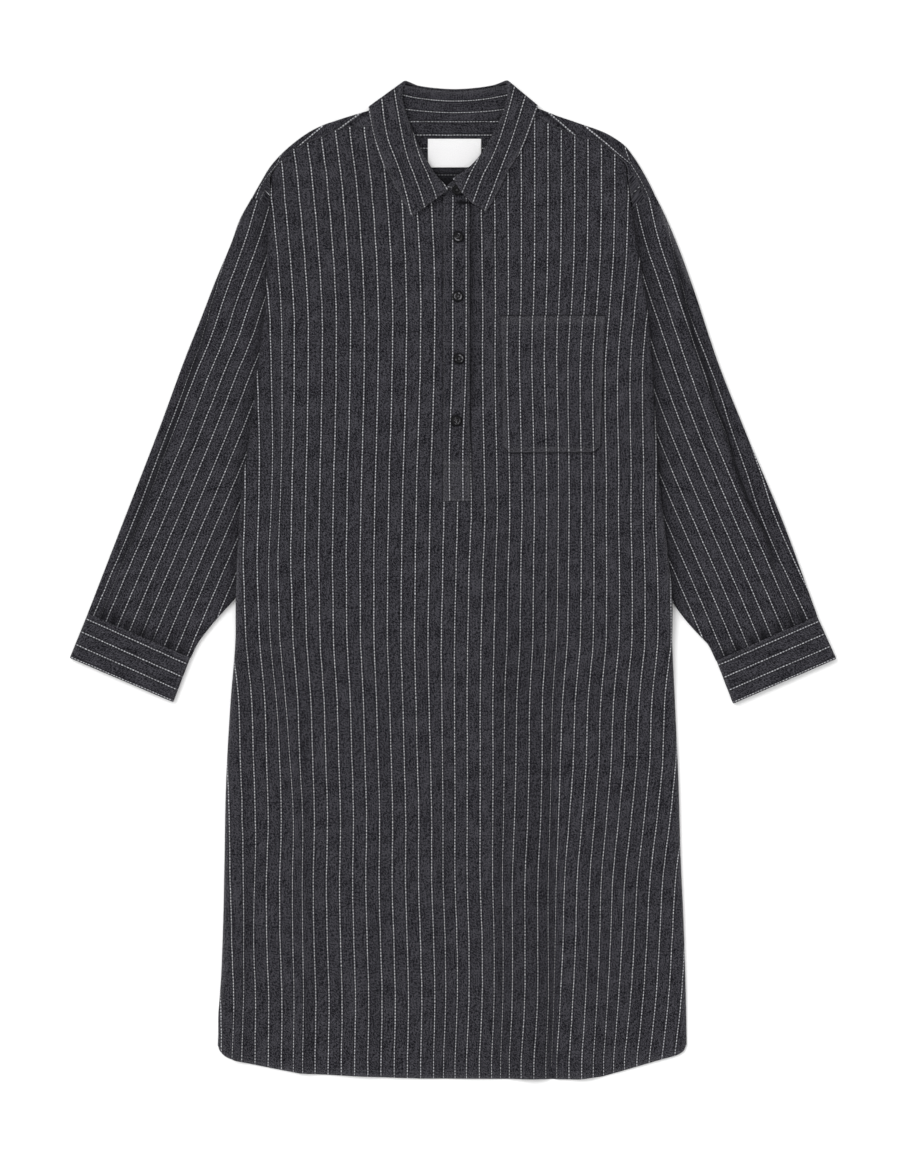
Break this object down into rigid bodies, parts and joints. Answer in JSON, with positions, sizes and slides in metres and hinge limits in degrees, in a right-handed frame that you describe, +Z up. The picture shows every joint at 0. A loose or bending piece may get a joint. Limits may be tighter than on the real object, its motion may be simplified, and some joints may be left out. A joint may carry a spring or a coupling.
{
  "type": "shirt dress",
  "caption": "Long loose shirt dress laid flat, with a short button placket, chest pocket, shirt collar on a stand, cuffed long sleeves and a softly curved hem.",
  "frame": {"origin": "centre of the garment's outline on the surface that it lies on", "axes": "+Y from the hem to the collar, +X to the wearer's left, +Z up off the surface, out of the front"},
  "size_m": [0.8818, 1.1486, 0.0128],
  "materials": {
    "shirting": "soft brushed twill, charcoal grey with thin broken off-white stripes",
    "woven_label": "plain white satin weave",
    "button": "dark dished four-hole button, satin gloss"
  },
  "bodies": {
    "root": {"back": "shirting", "front": "shirting", "yoke": "shirting", "sleeve_right": "shirting", "sleeve_left": "shirting", "cuff_right": "shirting", "cuff_left": "shirting", "collar_stand": "shirting", "collar_leaf": "shirting", "placket_under": "shirting", "placket_top": "shirting", "pocket": "shirting", "label": "woven_label", "button_1": "button", "button_2": "button", "button_3": "button", "button_4": "button", "button_5": "button"}
  },
  "joints": []
}
